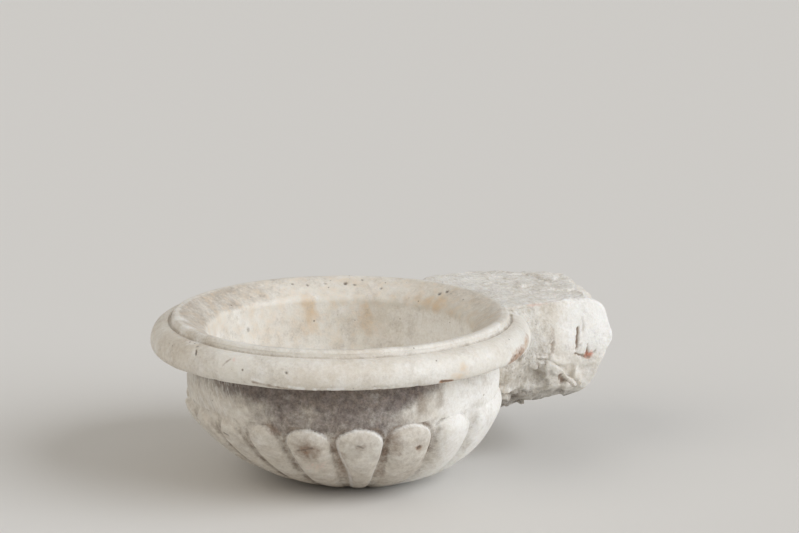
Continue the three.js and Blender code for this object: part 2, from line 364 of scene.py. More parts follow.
lobe_seam = [(NECK_FOOT, LOBE_TOP), (CROWN_TOP, LOBE_TOP), (hollow_radius(LOBE_TOP), LOBE_TOP)]
rim_edges = [((187.4, 137.4), 5.5, 1.0), ((168, 167.4), 3, 0.5), ((160, 168.6), 4, 0.35)]
rim_creases = [((170, 161.8), 3.2, 1.0), ((152, 133), 6, 0.6)]
on_crowns = np.repeat([0.0, 1.0], [len(inside_bowl), len(crowns) + len(base)])
on_neck = (neck_outline[:, 0] > NECK_TOP - 0.1).astype(float)
rim = chain("rim_skin", rim_outline, rim_seam, np.zeros(len(rim_outline)), rim_edges, rim_creases)
neck = chain("neck_skin", neck_outline, rim_seam + lobe_seam, on_neck)
bowl = chain("bowl_skin", bowl_outline, lobe_seam, on_crowns, lobed=True)
print("chains:", [len(o.data.vertices) for o in (rim, neck, bowl)])

# %% [markdown]
# ## Turning and carving
# A flat grid is rolled round the axis: its X says how far round, its Y picks the point of the chain. A
# Screw modifier could turn the outline too, but the lobes follow a rule of angle and height, so one tree
# both rolls the sheet and cuts them, and every size in the rule stays a named input.

# %% Sizes of the carving, and an empty tree
CARVING = {
    "Segments": 640, "Lobes per turn": 20, "Carved share": 119.5 / 360, "Lobe top": LOBE_TOP * MM,
    "Arch": 17 * MM, "Corner": 2.15, "Crowning": 0.35, "Front lobe": 4.0, "Soft fill": 0.87,
    "Soft depth": 0.82, "Wide fill": 0.96, "Lean": 0.55, "Narrower": 0.285, "Shifted": -0.085, "Wider": 0.16, "Worn lobe": 0.5,
    "Worn arch": 0.5, "Left proud": 4.5 * MM, "Seat radius": SEAT_RADIUS * MM, "Tenon left": -89 * MM,
    "Tenon right": 57 * MM, "Seed": 7,
}


def new_tree(name, sizes):
    """An empty shape tree with an input for each size. Returns it and its input sockets by name."""
    tree = bpy.data.node_groups.new(name, "GeometryNodeTree")
    tree.interface.new_socket("Geometry", in_out="OUTPUT", socket_type="NodeSocketGeometry")
    kinds = {label: "Int" if isinstance(value, int) else "Float" for label, value in sizes.items()}
    for label, kind in ({"Geometry": "Geometry"} | kinds | {"Material": "Material"}).items():
        tree.interface.new_socket(label, in_out="INPUT", socket_type="NodeSocket" + kind)
    given = tree.nodes.new("NodeGroupInput")
    return tree, {socket.name: socket for socket in given.outputs if socket.name}


turning, size = new_tree("turned_and_carved", CARVING)
put = partial(add, turning)
print("the turning tree starts with", len(size), "inputs")

# %% Sheet with its angles and rows
COLUMN_PULL = 0.45  # the sheet's columns stand closer together on the side that the camera sees
rows = put("GeometryNodeAttributeDomainSize", {"Geometry": size["Geometry"]}, component="MESH")
columns = put(MATH, (size["Segments"], 1), "ADD")
sheet = put("GeometryNodeMeshGrid", {"Size X": 1, "Size Y": 1, "Vertices X": columns, "Vertices Y": rows})
flat = put("ShaderNodeSeparateXYZ", (put("GeometryNodeInputPosition"),))
even_angle = put(MATH, (flat.outputs["X"], math.tau), "MULTIPLY")
off_view = put(MATH, (put(MATH, (even_angle, AZIMUTH), "SUBTRACT"),), "SINE")
angle = put(MATH, (off_view, -COLUMN_PULL, even_angle), "MULTIPLY_ADD")
turn = put(MATH, (angle, math.tau), "DIVIDE")
last_row = put(MATH, (rows, 1), "SUBTRACT")
height_share = put(MATH, (flat.outputs["Y"], 0.5), "ADD")
row = put(MATH, (put(MATH, (height_share, last_row), "MULTIPLY"),), "ROUND")
on_chain = put("GeometryNodeSampleIndex", {
    "Geometry": size["Geometry"], "Value": put("GeometryNodeInputPosition"), "Index": row,
}, data_type="FLOAT_VECTOR")
outline = put("ShaderNodeSeparateXYZ", (on_chain,))
radius, level = outline.outputs["X"], outline.outputs["Z"]
fact = {label: put("GeometryNodeSampleIndex", {
    "Geometry": size["Geometry"], "Index": row,
    "Value": put("GeometryNodeInputNamedAttribute", {"Name": label}, data_type="FLOAT"),
}, data_type="FLOAT") for label in (
    "relief", "bevel", "fill", "proud", "seat_level", "outer", "drift", "edge", "crease", "free")}
print("the sheet is rolled from", len(turning.nodes), "nodes so far")

# %% [markdown]
# The belly's levels are circles whose centres move towards the wall on the way down, so the distance from
# the axis depends on the direction. A ring of lobes that was set out by eye is never even: to the left of
# the front lobe they get narrower, to the right a little wider, and they lean towards the foot of the bowl.
# A random value for each lobe changes its width and the height of its top.

# %% Levels drawn to the wall, and the place of each lobe
FILL_SPREAD, TOP_SPREAD = 0.02, 1.3 * MM
PITCH_SPANS = {"Narrower": (40, 13), "Shifted": (66, 52), "Wider": (84, 112)}  # degrees round from the front
sine = put(MATH, (angle,), "SINE")
back = put(MATH, (put(MATH, (angle,), "COSINE"), -1), "MULTIPLY")
sideways = put(MATH, (fact["drift"], sine), "MULTIPLY")
both_squares = [put(MATH, (v, v), "MULTIPLY") for v in (radius, sideways)]
reach = put(MATH, (put(MATH, both_squares, "SUBTRACT"),), "SQRT")
drawn = put(MATH, (fact["drift"], back, reach), "MULTIPLY_ADD")

swung = put(MATH, (put(MATH, (sideways, radius), "DIVIDE"), -1 / math.tau), "MULTIPLY")
upright = put(MATH, (swung, size["Lean"], turn), "MULTIPLY_ADD")
lobe_count = put(MATH, (upright, size["Lobes per turn"]), "MULTIPLY")
for label, (start, stop) in PITCH_SPANS.items():
    lobe_count = put(MATH, (lobe_count, put(RAMP, {
        "Value": upright, "From Min": start / 360, "From Max": stop / 360, "To Max": size[label],
    })), "SUBTRACT")
lobe = put(MATH, (lobe_count,), "ROUND")
width_chance, top_chance = (put("FunctionNodeRandomValue", {
    "Min": -1.0, "Max": 1.0, "ID": lobe, "Seed": put(MATH, (size["Seed"], k), "ADD"),
}, data_type="FLOAT") for k in range(2))
own_top = put(MATH, (put(MATH, (top_chance, -1), "ADD"), TOP_SPREAD, size["Lobe top"]), "MULTIPLY_ADD")
print("with the place of each lobe the tree has", len(turning.nodes), "nodes")

# %% [markdown]
# Each lobe is a shield with a domed top and bevelled edges. Only the front lobe narrows downwards and is
# crisp on both sides. The others overlap like tiles: the flank towards the front lobe falls softly to the
# foot of its neighbour, and the far one is cut steep. Near the left end they are worn softer.

# %% Width and wear of each lobe
WORN_WITHIN, WORN_UNTIL = 0.8, 2.6  # in lobes to either side of the most worn place
WORN_BEVEL = 1.4
from_middle = put(MATH, (lobe_count, lobe), "SUBTRACT")
from_front = put(MATH, (lobe, size["Front lobe"]), "SUBTRACT")
is_front = put(MATH, (from_front, 0, 0.5), "COMPARE")
edge_fill = put(MIX, {"Factor": is_front, "A": size["Wide fill"], "B": fact["fill"]}, data_type="FLOAT")
own_width = put(MATH, (width_chance, FILL_SPREAD, 1 - FILL_SPREAD), "MULTIPLY_ADD")
crisp_fill = put(MATH, (edge_fill, own_width), "MULTIPLY")
soft_side = put(MATH, (put(MATH, (from_middle, from_front), "MULTIPLY"), 0), "LESS_THAN")
own_fill = put(MIX, {"Factor": soft_side, "A": crisp_fill, "B": size["Soft fill"]}, data_type="FLOAT")
across = put(MATH, (put(MATH, (from_middle, 2), "MULTIPLY"), own_fill), "DIVIDE")
from_worn = put(MATH, (put(MATH, (lobe_count, size["Worn lobe"]), "SUBTRACT"),), "ABSOLUTE")
worn = put(RAMP, {"Value": from_worn, "From Min": WORN_UNTIL, "From Max": WORN_WITHIN})
arch_growth = put(MATH, (worn, size["Worn arch"], 1.0), "MULTIPLY_ADD")
own_arch = put(MATH, (size["Arch"], arch_growth), "MULTIPLY")
bevel_growth = put(MATH, (worn, WORN_BEVEL, 1.0), "MULTIPLY_ADD")
own_bevel = put(MATH, (fact["bevel"], bevel_growth), "MULTIPLY")
print("with their widths the tree has", len(turning.nodes), "nodes")

# %% Shield with a domed top
BEVEL_PAST_EDGE = 0.5 * MM
arch_foot = put(MATH, (own_top, own_arch), "SUBTRACT")
above = put(RAMP, {"Value": level, "From Min": arch_foot, "From Max": own_top})
sides = put(MATH, (across,), "ABSOLUTE")
powers = [put(MATH, (v, size["Corner"]), "POWER") for v in (sides, above)]
root_of_sum = put(MATH, (1, size["Corner"]), "DIVIDE")
outwards = put(MATH, (put(MATH, powers, "ADD"), root_of_sum), "POWER")
within = put(MATH, (outwards, 1), "MINIMUM")
half_pitch = put(MATH, (put(MATH, (radius, math.pi), "MULTIPLY"), size["Lobes per turn"]), "DIVIDE")
half_width = put(MATH, (half_pitch, own_fill), "MULTIPLY")
to_edge = put(MATH, (put(MATH, (1, outwards), "SUBTRACT"), half_width), "MULTIPLY")
bevelled = put(RAMP, {
    "Value": to_edge, "From Min": own_bevel, "From Max": -BEVEL_PAST_EDGE}, interpolation_type="SMOOTHSTEP")
crowned = put(MATH, (within, 2), "POWER")
domed = put(MIX, {"Factor": size["Crowning"], "A": bevelled, "B": crowned}, data_type="FLOAT")
print("with their shields the tree has", len(turning.nodes), "nodes")

# %% Valleys and soft flanks
CREST_SHARE = 0.7  # the part of a soft flank over which the crest's own form fades
between = put(RAMP, {
    "Value": above, "To Min": size["Soft depth"], "To Max": 1.0}, interpolation_type="SMOOTHSTEP")
valley_middle = put(MATH, (1, own_fill), "DIVIDE")
to_middle = put(RAMP, {"Value": sides, "From Min": 1.0, "From Max": valley_middle})
beside = put(MIX, {"Factor": to_middle, "A": 1.0, "B": between}, data_type="FLOAT")
crisp = put(MATH, (domed, beside), "MULTIPLY")
gentle = put(MATH, (put(MATH, (within, 3), "POWER"), between), "MULTIPLY")
under_arch = put(RAMP, {"Value": above, "To Min": 1.0, "To Max": 0.0}, interpolation_type="SMOOTHSTEP")
off_crest = put(RAMP, {"Value": sides, "From Max": CREST_SHARE}, interpolation_type="SMOOTHSTEP")
soft_share = put(MATH, (put(MATH, (off_crest, under_arch), "MULTIPLY"), soft_side), "MULTIPLY")
below = put(MIX, {"Factor": soft_share, "A": crisp, "B": gentle}, data_type="FLOAT")
hard_groove = put(MATH, (bevelled, beside), "MULTIPLY")
grooved = put(MIX, {"Factor": soft_share, "A": hard_groove, "B": gentle}, data_type="FLOAT")
print("with their valleys the tree has", len(turning.nodes), "nodes")

# %% Depth of the cut, and the stone left full beside the tenon
CARVED_END, WORN_LOSS = 0.016, 0.45  # share of a turn over which the carving ends, share of the cut worn away
carving_end = put(MATH, (size["Carved share"], CARVED_END), "ADD")
left_full = put(RAMP, {
    "Value": put(MATH, (turn,), "ABSOLUTE"), "From Min": size["Carved share"], "From Max": carving_end,
}, interpolation_type="SMOOTHSTEP")
still_carved = put(MATH, (1, left_full), "SUBTRACT")
rubbed_low = put(MATH, (put(MATH, (worn, under_arch), "MULTIPLY"), -WORN_LOSS, 1.0), "MULTIPLY_ADD")
edge_cut = put(MATH, (put(MATH, (below, fact["relief"]), "MULTIPLY"), rubbed_low), "MULTIPLY")
cut = put(MATH, (edge_cut, still_carved), "MULTIPLY")
proud = put(MATH, (left_full, size["Left proud"]), "MULTIPLY")
stands = put(MATH, (proud, fact["proud"]), "MULTIPLY")
carved_radius = put(MATH, (put(MATH, (drawn, cut), "SUBTRACT"), stands), "ADD")
print("with the cut the tree has", len(turning.nodes), "nodes")

# %% Where the tenon stops the moulding
x_place = put(MATH, (carved_radius, sine), "MULTIPLY")
inside_tenon = [
    put(MATH, (x_place, size["Tenon left"]), "GREATER_THAN"),
    put(MATH, (x_place, size["Tenon right"]), "LESS_THAN"),
    put(MATH, (back, 0), "GREATER_THAN"),
]
stopped = put(MATH, (put(MATH, inside_tenon[:2], "MULTIPLY"), inside_tenon[2]), "MULTIPLY")
seated = put(MATH, (carved_radius, size["Seat radius"]), "MINIMUM")
final_radius = put(MIX, {"Factor": stopped, "A": carved_radius, "B": seated}, data_type="FLOAT")
final_level = put(MIX, {"Factor": stopped, "A": level, "B": fact["seat_level"]}, data_type="FLOAT")
place = put("ShaderNodeCombineXYZ", (
    put(MATH, (final_radius, sine), "MULTIPLY"), put(MATH, (final_radius, back), "MULTIPLY"), final_level))
still_free = put(MATH, (fact["free"], put(MATH, (1, stopped), "SUBTRACT")), "MULTIPLY")
print("with the tenon's seat the tree has", len(turning.nodes), "nodes")

# %% [markdown]
# The finish will want to know where dirt gathers and where it paints shade and highlights. The same rule
# gives that for nothing: the grooves, the crisp edge of each lobe, which gets a painted highlight, and the
# line at its foot, which gets painted shade, are stored on the skin as attributes.

# %% Grooves, crisp edges and foot lines
UNROLLED_RADIUS = 0.155  # metres: turns an angle into a length along the neck
ARRIS_INSIDE, ARRIS_REACH, ARRIS_CORE = 1.6 * MM, 2.6 * MM, 0.6 * MM
FOOT_OUTSIDE, FOOT_REACH = 2.5 * MM, 5 * MM
SHALLOW_CUT, DEEP_CUT = 0.8 * MM, 3 * MM
SOFT_FOOT = 0.8  # the share of a soft flank beyond which its foot begins
along_neck = put(MATH, (angle, UNROLLED_RADIUS), "MULTIPLY")
unrolled = put("ShaderNodeCombineXYZ", (along_neck, level, radius))
in_groove = put(MATH, (grooved, still_carved), "MULTIPLY")
beside_edge = put(MATH, (put(MATH, (to_edge, ARRIS_INSIDE), "SUBTRACT"),), "ABSOLUTE")
# A band along each crisp edge, painted lighter later as a highlight.
edge_band = put(RAMP, {"Value": beside_edge, "From Min": ARRIS_REACH, "From Max": ARRIS_CORE})
# The foot line below is painted darker later, as shade at the foot of each lobe.
from_foot = put(MATH, (put(MATH, (to_edge, FOOT_OUTSIDE), "ADD"),), "ABSOLUTE")
at_foot = put(RAMP, {"Value": from_foot, "From Min": FOOT_REACH, "From Max": 0.0})
cut_deep = put(RAMP, {"Value": cut, "From Min": SHALLOW_CUT, "From Max": DEEP_CUT})
hard_side = put(MATH, (1, soft_share), "SUBTRACT")
unworn = put(MATH, (still_carved, worn), "SUBTRACT", use_clamp=True)
arris = put(MATH, (put(MATH, (edge_band, hard_side), "MULTIPLY"), unworn), "MULTIPLY")
hard_foot = put(MATH, (at_foot, hard_side), "MULTIPLY")
far_down = put(RAMP, {"Value": within, "From Min": SOFT_FOOT, "From Max": 1.0})
soft_foot = put(MATH, (far_down, soft_share), "MULTIPLY")
foot_line = put(MATH, (put(MATH, (hard_foot, soft_foot), "MAXIMUM"), cut_deep), "MULTIPLY")
print("with its edges the tree has", len(turning.nodes), "nodes")


# %% Finished sheet
def end_tree(put, geometry, material):
    """Close a tree the way that the export needs: real geometry with its material."""
    real = put("GeometryNodeRealizeInstances", {"Geometry": geometry})
    dressed = put("GeometryNodeSetMaterial", {"Geometry": real, "Material": material})
    put("NodeGroupOutput", (dressed,))


MERGE_WITHIN = 0.02 * MM
kept = put("GeometryNodeStoreNamedAttribute", {
    "Geometry": sheet, "Name": "unrolled", "Value": unrolled}, data_type="FLOAT_VECTOR", domain="POINT")
for label, value in {
    "groove": in_groove, "arris": arris, "lobe_foot": foot_line, "free": still_free,
    "edge": fact["edge"], "crease": fact["crease"], "outer": fact["outer"],
}.items():
    kept = put("GeometryNodeStoreNamedAttribute", {"Geometry": kept, "Name": label, "Value": value},
               data_type="FLOAT", domain="POINT")
rolled = put("GeometryNodeSetPosition", {"Geometry": kept, "Position": place})
closed = put("GeometryNodeMergeByDistance", {"Geometry": rolled, "Distance": MERGE_WITHIN})
facing_out = put("GeometryNodeFlipFaces", {"Mesh": closed})  # rolling leaves the grid's faces looking inwards
end_tree(put, facing_out, size["Material"])
print("turning tree:", len(turning.nodes), "nodes")

# %% [markdown]
# ## Wear
# Hands, water and falls have worked on the stone for centuries. It waves a little where it was rubbed down,
# small pits mark lost crystals, and the edges are chipped. This could be bump in the finish, but the
# outline of the rim shows it too, so a second tree moves the skin itself. Where two zones meet it moves
# nothing.

# %% Tree that wears the skin
WEAR = {
    "Wave": 1.8 * MM, "Wave length": 40 * MM, "Pit depth": 0.9 * MM, "Pit spacing": 15 * MM,
    "Pit share": 0.22, "Chip depth": 1.6 * MM, "Chip length": 11 * MM, "Seed": 3,
}
PIT_SMALLEST, PIT_SPREAD = 0.1, 0.22  # radius of a pit as a share of the spacing
CHIP_START, CHIP_FULL = 0.54, 0.72  # noise above which an edge begins to be lost, and is lost
wearing, size = new_tree("worn_skin", WEAR)
put = partial(add, wearing)
spot = put("GeometryNodeInputPosition")
attribute = {label: put("GeometryNodeInputNamedAttribute", {"Name": label}, data_type="FLOAT")
             for label in ("free", "edge")}
swell, knocks = (put(NOISE, {
    "Vector": spot, "W": size["Seed"], "Scale": put(MATH, (1, size[length]), "DIVIDE"),
    "Detail": detail, "Roughness": roughness,
}, noise_dimensions="4D").outputs["Fac"] for length, detail, roughness in (
    ("Wave length", 3.0, 0.5), ("Chip length", 4.0, 0.6)))
wave = put(MATH, (put(MATH, (swell, -0.5), "ADD"), size["Wave"]), "MULTIPLY")
cells = put("ShaderNodeTexVoronoi", {
    "Vector": spot, "W": size["Seed"], "Scale": put(MATH, (1, size["Pit spacing"]), "DIVIDE"),
}, voronoi_dimensions="4D")
cell_chance = put("ShaderNodeSeparateXYZ", (cells.outputs["Color"],))
has_pit = put(MATH, (cell_chance.outputs["X"], size["Pit share"]), "LESS_THAN")
pit_reach = put(MATH, (cell_chance.outputs["Y"], PIT_SPREAD, PIT_SMALLEST), "MULTIPLY_ADD")
hole = put(RAMP, {
    "Value": cells.outputs["Distance"], "From Min": pit_reach, "From Max": 0.0,
}, interpolation_type="SMOOTHSTEP")
pit = put(MATH, (hole, has_pit), "MULTIPLY")
knock = put(RAMP, {"Value": knocks, "From Min": CHIP_START, "From Max": CHIP_FULL})
chip = put(MATH, (knock, attribute["edge"]), "MULTIPLY")
sunk = put(MATH, (pit, size["Pit depth"]), "MULTIPLY")
lost = put(MATH, (chip, size["Chip depth"]), "MULTIPLY")
moved = put(MATH, (put(MATH, (wave, sunk), "SUBTRACT"), lost), "SUBTRACT")
held = put(MATH, (moved, attribute["free"]), "MULTIPLY")
shift = put(VECTOR, {0: put("GeometryNodeInputNormal"), 1: held}, "SCALE")
kept = size["Geometry"]
for label, value in (("pit", pit), ("chip", chip)):
    kept = put("GeometryNodeStoreNamedAttribute", {"Geometry": kept, "Name": label, "Value": value},
               data_type="FLOAT", domain="POINT")
end_tree(put, put("GeometryNodeSetPosition", {"Geometry": kept, "Offset": shift}), size["Material"])
print("wearing tree:", len(wearing.nodes), "nodes")

# %% [markdown]
# ## The tenon
# The mason left this block rough, because it disappears in the wall: flat on top where the next course of
# stone lies, split and hewn on the sides, broken off askew at the end. It starts as a box made of small
# squares, whose corners are rounded before the box is bent into the block's shape.

# %% Box of small squares
TENON_CELLS = (144, 136, 92)
TENON_SIZE = np.array([160.0, 150.0, 105.0])
TOP_CORNER, FOOT_CORNER = 4.0, 7.0  # radius of the rounded edges at the top and at the foot
DEEP_IN_STONE = -99.0


def box_shell(cells):
    """Places from 0 to 1 on the faces of a box, and the squares between them, all facing outwards."""
    index = np.full([n + 1 for n in cells], -1)
    steps = np.indices(index.shape)
    shell = np.any([(s == 0) | (s == n) for s, n in zip(steps, cells)], axis=0)
    index[shell] = np.arange(shell.sum())
    squares = []
    for axis in range(3):
        for side in (0, -1):
            sheet = np.take(index, side, axis=axis)
            corners = [sheet[:-1, :-1], sheet[1:, :-1], sheet[1:, 1:], sheet[:-1, 1:]]
            quads = np.stack(corners, -1).reshape(-1, 4)
            squares.append(quads[:, ::-1] if (side == 0) != (axis == 1) else quads)
    return np.column_stack([s[shell] / n for s, n in zip(steps, cells)]), np.vstack(squares)


def rounded(places, corner):
    """The box with its edges rounded, apart from the inner end, which stays in the stone."""
    block = places * TENON_SIZE
    low, high = np.zeros(3) + corner[:, None], TENON_SIZE - corner[:, None]
    low[:, 1] = DEEP_IN_STONE
    core = np.clip(block, low, high)
    out = block - core
    length = np.linalg.norm(out, axis=1)
    turn = np.where(length > 0, corner / np.maximum(length, 1e-9), 0)
    return (core + out * np.minimum(turn, 1)[:, None]) / TENON_SIZE


places, squares = box_shell(TENON_CELLS)
corner = TOP_CORNER + (FOOT_CORNER - TOP_CORNER) * (1 - places[:, 2])
across, along, up = rounded(places, corner).T
print("tenon box:", len(places), "points", len(squares), "squares")

# %% Box bent into the block
LEFT_SIDE, LEFT_TURNS_IN, LEFT_FLARE = -92, 34, 36
RIGHT_SIDE, RIGHT_SWELL = 60, 9
END, END_SKEW = 291, 37
DEPTH_AT_BOWL, DEPTH_LOST = 116, 14  # the underside rises on the way into the wall
NEAREST_ROOT = 10.0
BOWL_RADIUS = ((60, 139), (90, 150), (118, 151), (128, 152), (150, SEAT_RADIUS), (170, SEAT_RADIUS))


def line_at(value, *points):
    """Height of a line through points, at a value."""
    return np.interp(value, *np.array(points, float).T)


flare = LEFT_FLARE * np.sin(np.pi * np.clip(along, 0, 1) ** 0.9)
left = LEFT_SIDE + LEFT_TURNS_IN * along - flare
right_side = RIGHT_SIDE + RIGHT_SWELL * np.sin(np.pi * up)
x = left + (right_side - left) * across
end_curve = smooth_through((0, -4), (21, 5), (47, 15.5), (70, 23), (88, 18.5), (105, -1))
end = END - END_SKEW * across + line_at(TENON_SIZE[2] * up, *end_curve) * (0.3 + 0.7 * across)
z = HEIGHT - (DEPTH_AT_BOWL - DEPTH_LOST * along) * (1 - up)
root = np.sqrt(np.maximum(line_at(z, *BOWL_RADIUS) ** 2 - x**2, NEAREST_ROOT**2))
y = root + (end - root) * along
print("smooth block from", x.min().round(), "to", x.max().round(), "across and to", y.max().round(), "along")

# %% Broad unevenness
HEWN_DEPTH, HEWN_PITCH = 3.2, 21.0


def hewn_wave(a, b, c, phase, fine_share):
    """Broad unevenness from -1 to 1: two products of waves at unlike pitches."""
    k = math.tau / HEWN_PITCH
    coarse = np.sin(0.37 * k * (a + 0.6 * c) + phase) * np.cos(0.41 * k * (b - 0.5 * c) - phase)
    fine = np.sin(0.93 * k * (c + 0.4 * b) + 2 * phase) * np.cos(0.88 * k * (a - 0.7 * b) + phase)
    return 0.6 * coarse + fine_share * fine


below_top = np.clip((1 - up) / 0.1, 0, 1)
off_bowl = np.clip(along / 0.1, 0, 1)
fine_share = 0.4 * np.clip((1 - across) / 0.3, 0, 1)
x, y, z = (x + HEWN_DEPTH * hewn_wave(x, y, z, 0.4, fine_share) * off_bowl,
           y + HEWN_DEPTH * hewn_wave(y, z, x, 1.7, fine_share) * along,
           z + HEWN_DEPTH * hewn_wave(z, x, y, 2.9, fine_share) * below_top)
print("tenon reaches from", x.min().round(), "to", x.max().round(), "across and to", y.max().round(), "along")

# %% [markdown]
# The flank that the photograph shows was read closely: thin slots where the chisel was driven in, a crease
# under which the stone steps out again as a small shelf, and below that the rough underside that turns in
# to the bowl. Each is a line on the flank, given by its distance along the tenon and its height.

# %% Underside, crease and shelf of the near flank
UNDERSIDE_EDGE = ((150, 82), (185, 81), (205, 81), (220, 81), (234, 80), (246, 74), (300, 68))
CREASE = ((190, 112), (200, 110), (208, 105.5), (219, 100), (226, 92), (235, 82.5))
CREASE_WIDTH, CREASE_DEPTH, SHELF_STEP, SHELF_FADE = 3.0, 2.2, 6.0, 14.0
SHELF_START, SHELF_STOP, SHELF_RAMP = 190, 240, 16
UNDERCUT, LEAN_IN = 0.95, 5.0


def line_gap(y0, z0, y1, z1, narrow=1.0):
    """Distance of the flank's points from a straight mark, which may start narrower than it ends."""
    reach = np.clip(((y - y0) * (y1 - y0) + (z - z0) * (z1 - z0)) / ((y1 - y0) ** 2 + (z1 - z0) ** 2), 0, 1)
    return np.hypot(y - y0 - reach * (y1 - y0), z - z0 - reach * (z1 - z0)) / (narrow + (1 - narrow) * reach)


flank = np.clip((across - 0.8) / 0.18, 0, 1)
below_edge = np.clip(line_at(y, *UNDERSIDE_EDGE) - z, 0, 60)
crease_gap = np.min([line_gap(*a, *b) for a, b in zip(CREASE, CREASE[1:])], axis=0)
under_crease = (z < line_at(y, *CREASE)) & (y > SHELF_START) & (y < SHELF_STOP)
stepped_out = np.clip(crease_gap / CREASE_WIDTH, 0, 1) * np.exp(-crease_gap / SHELF_FADE)
shelf = np.where(under_crease, stepped_out, 0) * np.clip((y - SHELF_START) / SHELF_RAMP, 0, 1)
crease = np.clip(1 - crease_gap / CREASE_WIDTH, 0, 1) ** 1.2
lean = np.clip((112 - z) / 30, 0, 1) * np.clip((215 - y) / 30, 0, 1)
x = x - flank * (UNDERCUT * below_edge + LEAN_IN * lean - SHELF_STEP * shelf + CREASE_DEPTH * crease)
print("shelf on", int((shelf > 0.3).sum()), "points, underside on", int((below_edge > 0).sum()))

# %% Slots of the near flank
SLOTS = [  # two ends, width and depth
    ((206, 137), (204, 124), 3.2, 1.2), ((236, 141), (233, 121), 3.6, 2.3),
    ((241.5, 152), (241, 137), 2.4, 0.8),
    ((231, 114.5), (246.5, 108.5), 2.4, 1.9), ((246.5, 108.5), (255, 115), 1.8, 1.1),
    ((245, 124), (246, 109), 1.9, 1.6), ((185, 118), (191, 98), 5.5, 0.8), ((188, 134), (191, 118), 3.0, 0.6),
    ((212, 95), (217, 87), 4.0, 2.2), ((222, 87), (233, 79), 3.0, 1.4),
]
SLOT_TAPER, SLOT_STEEPNESS, SHADED_FROM = 0.4, 1.25, 2.0  # a slot of 2 mm or more is painted dark in full, as shade
# The crease and the slots are painted darker later, as shade in these recesses.
slot_shade_share = 0.3 * crease * flank
ragged = 1 + 0.7 * hewn_wave(4.1 * y, 3.7 * z, y, 0.3, 0.8)
for start, stop, width, depth in SLOTS:
    from_slot = line_gap(*start, *stop, narrow=SLOT_TAPER) / (width * ragged)
    cut_here = np.clip(SLOT_STEEPNESS * (1 - from_slot), 0, 1) * (across > 0.97)
    x = x - depth * cut_here
    slot_shade_share = np.maximum(slot_shade_share, cut_here * min(depth / SHADED_FROM, 1))
print("slots cut into", int((slot_shade_share > 0.3).sum()), "points")

# %% Tenon mesh and what its vertices know
on_top = np.clip((up - 0.985) / 0.015, 0, 1)
by_the_rim = np.clip((214 - y) / 26, 0, 1)
underside = np.clip(below_edge / 8, 0, 1)
right_rough = 0.15 + 0.35 * np.clip((135 - z) / 40, 0, 1) + 0.9 * lean + 0.4 * by_the_rim
right_rough = right_rough + 0.3 * np.clip(below_edge / 10, 0, 1)
smooth_by_rim = np.clip((np.hypot(x, y) - 178) / 30, 0, 1)
roughness_share = np.where(across > 0.9, right_rough, 1.0)
roughness_share = np.where(up > 0.97, 0.4 * smooth_by_rim, roughness_share)
clean_flank = flank * np.clip((y - 205) / 30, 0, 1) * np.clip((z - 100) / 25, 0, 1)
tenon_mesh = bpy.data.meshes.new("tenon_block")
tenon_mesh.from_pydata(np.column_stack([x, y, z]) * MM, [], squares.tolist())
# underside is painted darker later, as shade on the turned-in underside.
with_facts(tenon_mesh, {
    "rough": roughness_share, "flat_top": on_top, "slot_shade": slot_shade_share, "free": np.clip(along / 0.05, 0, 1),
    "underside": flank * np.clip(below_edge / 8 + 0.25 * lean, 0, 1),
    "picked": flank * np.clip(by_the_rim + lean + 0.5 * underside, 0, 1),
    "clean": (0.9 * clean_flank + 0.5 * on_top) * (1 - slot_shade_share),
})
tenon = in_scene("tenon_block", tenon_mesh)
print("tenon block:", len(tenon_mesh.polygons), "faces")

# %% [markdown]
# Blows of a point chisel split off flakes, and each leaves a small tilted plane. Cells of a Voronoi pattern
# do the same: inside a cell the skin tilts in one random direction, and at the cell's edge it breaks. The
# top was gone over with a toothed chisel, which leaves shallow scratches a few millimetres apart.

# %% Tree that hews the tenon
HEWING = {
    "Facet": 26 * MM, "Tilt": 0.4, "Lump": 5 * MM, "Lump length": 11 * MM, "Track": 1.8 * MM,
    "Track pitch": 4.5 * MM, "Seed": 5,
}
STIR, HALF = 3 * (12 * MM,), 3 * (0.5,)  # how far the cells' edges are stirred, and the middle of a noise
TRACK_STRETCH = (1.0, 0.25, 1.0)  # the scratches run along the tenon
HOLLOW_DEPTH = 4 * MM
hewing, size = new_tree("hewn_skin", HEWING)
put = partial(add, hewing)
spot = put("GeometryNodeInputPosition")
attribute = {label: put("GeometryNodeInputNamedAttribute", {"Name": label}, data_type="FLOAT")
             for label in ("free", "rough", "flat_top")}
stretched = put(VECTOR, (spot, TRACK_STRETCH), "MULTIPLY")
stir, lumps, scratches = (put(NOISE, {
    "Vector": vector, "W": size["Seed"], "Scale": put(MATH, (1, size[length]), "DIVIDE"),
    "Detail": detail, "Roughness": roughness,
}, noise_dimensions="4D") for vector, length, detail, roughness in (
    (spot, "Lump length", 2.0, 0.5), (spot, "Lump length", 5.0, 0.72), (stretched, "Track pitch", 2.0, 0.5)))
stir_from_middle = put(VECTOR, (stir.outputs["Color"], HALF), "SUBTRACT")
stirred = put(VECTOR, (stir_from_middle, STIR, spot), "MULTIPLY_ADD")
flakes = put("ShaderNodeTexVoronoi", {
    "Vector": stirred, "Scale": put(MATH, (1, size["Facet"]), "DIVIDE"), "Smoothness": 0.3, "Randomness": 1.0,
}, feature="SMOOTH_F1")
tilt = put(VECTOR, (flakes.outputs["Color"], HALF), "SUBTRACT")
off_centre = put(VECTOR, (stirred, flakes.outputs["Position"]), "SUBTRACT")
plane = put(VECTOR, (off_centre, tilt), "DOT_PRODUCT")
facet = put(MATH, (plane.outputs["Value"], size["Tilt"]), "MULTIPLY")
lump, track = (put(MATH, (put(MATH, (noise.outputs["Fac"], -0.5), "ADD"), size[height]), "MULTIPLY")
               for noise, height in ((lumps, "Lump"), (scratches, "Track")))
